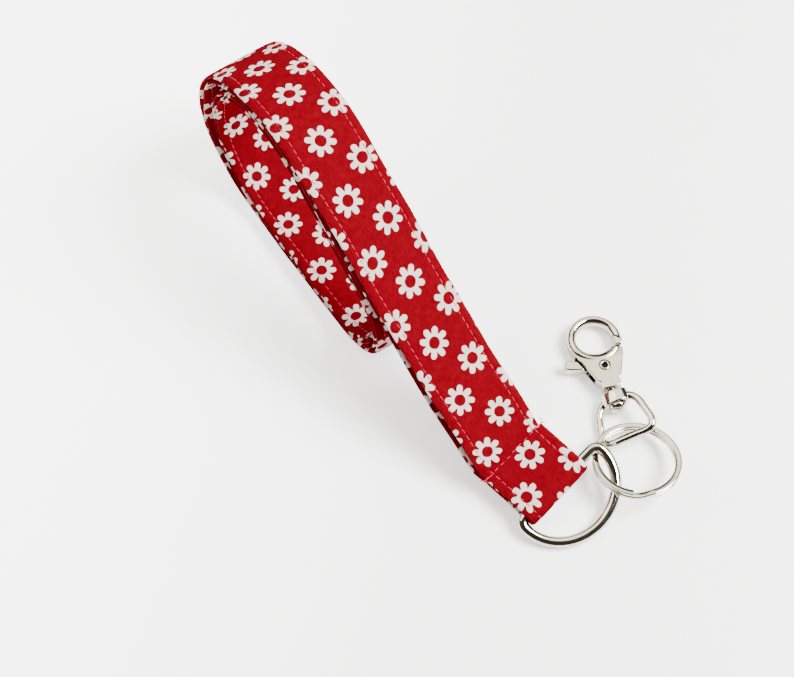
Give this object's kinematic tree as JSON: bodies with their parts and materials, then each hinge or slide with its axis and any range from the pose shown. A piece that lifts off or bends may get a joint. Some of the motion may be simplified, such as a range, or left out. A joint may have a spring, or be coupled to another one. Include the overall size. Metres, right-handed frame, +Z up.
{
  "type": "lanyard strap with clasp",
  "caption": "Flat cotton lanyard strap wound into a standing coil, with a D-ring, a split ring and a swivelling lobster clasp for carrying keys.",
  "frame": {"origin": "middle of the flat underside of the coil, where the part rests on a surface", "axes": "+Z up, +X from the coil along the strap towards the hardware, +Y across the strap's width towards the clasp's side"},
  "size_m": [0.1687, 0.0662, 0.0657],
  "materials": {
    "printed_cotton": "plain-weave cotton, deep red with small white daisies, stiffened and edge-stitched",
    "nickel_plate": "bright, slightly warm nickel plate",
    "spring_steel": "drawn wire"
  },
  "bodies": {
    "coil": {"coil_outer_ply_first_turn": "printed_cotton", "coil_inner_ply_first_turn": "printed_cotton", "coil_outer_ply_second_turn": "printed_cotton", "coil_inner_ply_second_turn": "printed_cotton", "strap_end_fold": "printed_cotton"},
    "run": {"run_upper_ply": "printed_cotton", "run_lower_ply": "printed_cotton"},
    "tab": {"d_ring_tab": "printed_cotton"},
    "d_ring": {"d_ring": "nickel_plate"},
    "split_ring": {"split_ring": "nickel_plate"},
    "swivel_eye": {"swivel_eye": "nickel_plate"},
    "clasp": {"swivel_pin": "nickel_plate", "clasp_body": "nickel_plate", "lever_rivet": "nickel_plate", "lever_spring": "spring_steel"},
    "lever": {"clasp_lever": "nickel_plate"}
  },
  "joints": [
    {"name": "strap_lift", "type": "hinge", "parent": "coil", "child": "run", "pos_m": [0.01112, 0, 0.06052], "axis": [0.0523, -0.9986, 0], "range_deg": [0, 60], "stiffness_Nm_per_rad": 0.02},
    {"name": "tab_flex", "type": "hinge", "parent": "run", "child": "tab", "pos_m": [0.08786, 0.00402, 0.00966], "axis": [0.0523, -0.9986, 0], "range_deg": [-20, 35], "stiffness_Nm_per_rad": 0.01},
    {"name": "d_ring_swing", "type": "hinge", "parent": "tab", "child": "d_ring", "pos_m": [0.1019, 0.0079, 0.0059], "axis": [0.1799, -0.9685, -0.1719], "range_deg": [-60, 100]},
    {"name": "split_ring_swing", "type": "hinge", "parent": "d_ring", "child": "split_ring", "pos_m": [0.10769, 0.02498, 0.00644], "axis": [-0.3171, -0.9484, 0], "range_deg": [0, 105]},
    {"name": "eye_swing", "type": "hinge", "parent": "split_ring", "child": "swivel_eye", "pos_m": [0.09779, 0.03475, 0.00348], "axis": [0.9611, -0.276, 0], "range_deg": [0, 105]},
    {"name": "clasp_swivel", "type": "hinge", "parent": "swivel_eye", "child": "clasp", "pos_m": [0.0901, 0.0396, 0.00372], "axis": [-0.9382, 0.3415, -0.0555], "continuous": true},
    {"name": "lever_press", "type": "hinge", "parent": "clasp", "child": "lever", "pos_m": [0.08048, 0.0431, 0.00315], "axis": [-0.0521, 0.019, 0.9985], "range_deg": [0, 25], "stiffness_Nm_per_rad": 0.02, "springref_deg": -17.19}
  ]
}
